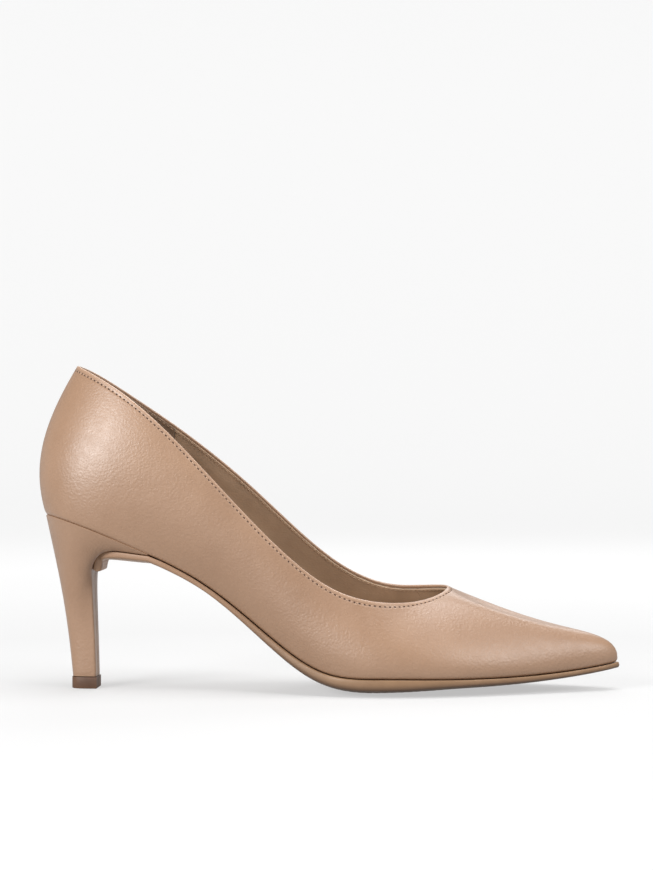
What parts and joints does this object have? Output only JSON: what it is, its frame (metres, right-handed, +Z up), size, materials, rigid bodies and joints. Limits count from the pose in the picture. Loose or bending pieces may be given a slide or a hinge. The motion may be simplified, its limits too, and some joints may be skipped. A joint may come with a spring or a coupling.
{
  "type": "high heel pump",
  "caption": "Pointed court shoe for a right foot, with a leather upper and lining and a slim covered high heel.",
  "frame": {"origin": "on the floor, below the middle of the shoe's length and width", "axes": "+X points to the toe, +Y to the inner side of the foot, +Z up"},
  "size_m": [0.2525, 0.0748, 0.1406],
  "materials": {
    "leather": "smooth nude tan leather with a soft sheen and a fine grain",
    "lining": "matt grey beige lining leather",
    "grip": "matt brown suede",
    "tape": "thin woven reinforcing tape",
    "stiffener": "resin impregnated fabric, moulded hard",
    "board": "cellulose fibreboard",
    "steel": "bare steel",
    "foam": "soft latex foam",
    "cork": "ground cork filler",
    "sole": "tan sole leather with a sanded edge and a smooth pinkish waist",
    "heel_plastic": "moulded hard plastic",
    "lift_plastic": "dark brown hard polyurethane"
  },
  "bodies": {
    "root": {"upper": "leather", "topline_tape": "tape", "vamp_lining": "lining", "outer_quarter_lining": "lining", "inner_quarter_lining": "lining", "heel_grip": "grip", "toe_puff": "stiffener", "heel_counter": "stiffener", "forepart_insole": "board", "shank_board": "board", "steel_shank": "steel", "front_shank_rivet": "steel", "rear_shank_rivet": "steel", "ball_cushion": "foam", "heel_cushion": "foam", "sock_lining": "lining", "bottom_filler": "cork", "outsole": "sole", "heel_cover": "leather", "heel_block": "heel_plastic", "heel_dowel": "steel", "top_lift": "lift_plastic", "top_lift_pin": "steel", "heel_screw": "steel", "heel_nail_1": "steel", "heel_nail_2": "steel", "heel_nail_3": "steel", "heel_nail_4": "steel"}
  },
  "joints": []
}
